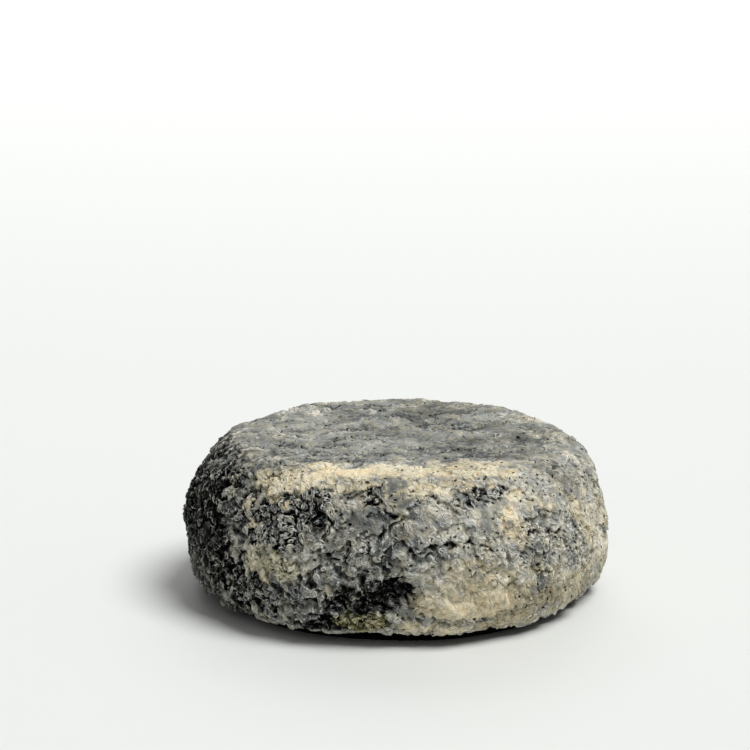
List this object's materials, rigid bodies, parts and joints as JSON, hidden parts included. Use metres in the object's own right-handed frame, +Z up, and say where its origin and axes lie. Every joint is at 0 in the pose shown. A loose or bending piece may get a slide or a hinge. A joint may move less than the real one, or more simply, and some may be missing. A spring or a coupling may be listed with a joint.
{
  "type": "cheese wheel",
  "caption": "Small whole soft cheese wheel with a flat base, bulging side, rounded shoulder and a wrinkled ash-grey rind with cream patches.",
  "frame": {"origin": "centre of the flat base, on the surface that the wheel stands on", "axes": "+Z up along the wheel's axis, -Y the front of the wheel, +X to the right seen from the front"},
  "size_m": [0.0956, 0.0936, 0.0353],
  "materials": {
    "ash_rind": "matt, wrinkled natural rind: grey bloom over charcoal ash, with cream and straw-coloured patches"
  },
  "bodies": {
    "root": {"cheese_wheel": "ash_rind"}
  },
  "joints": []
}
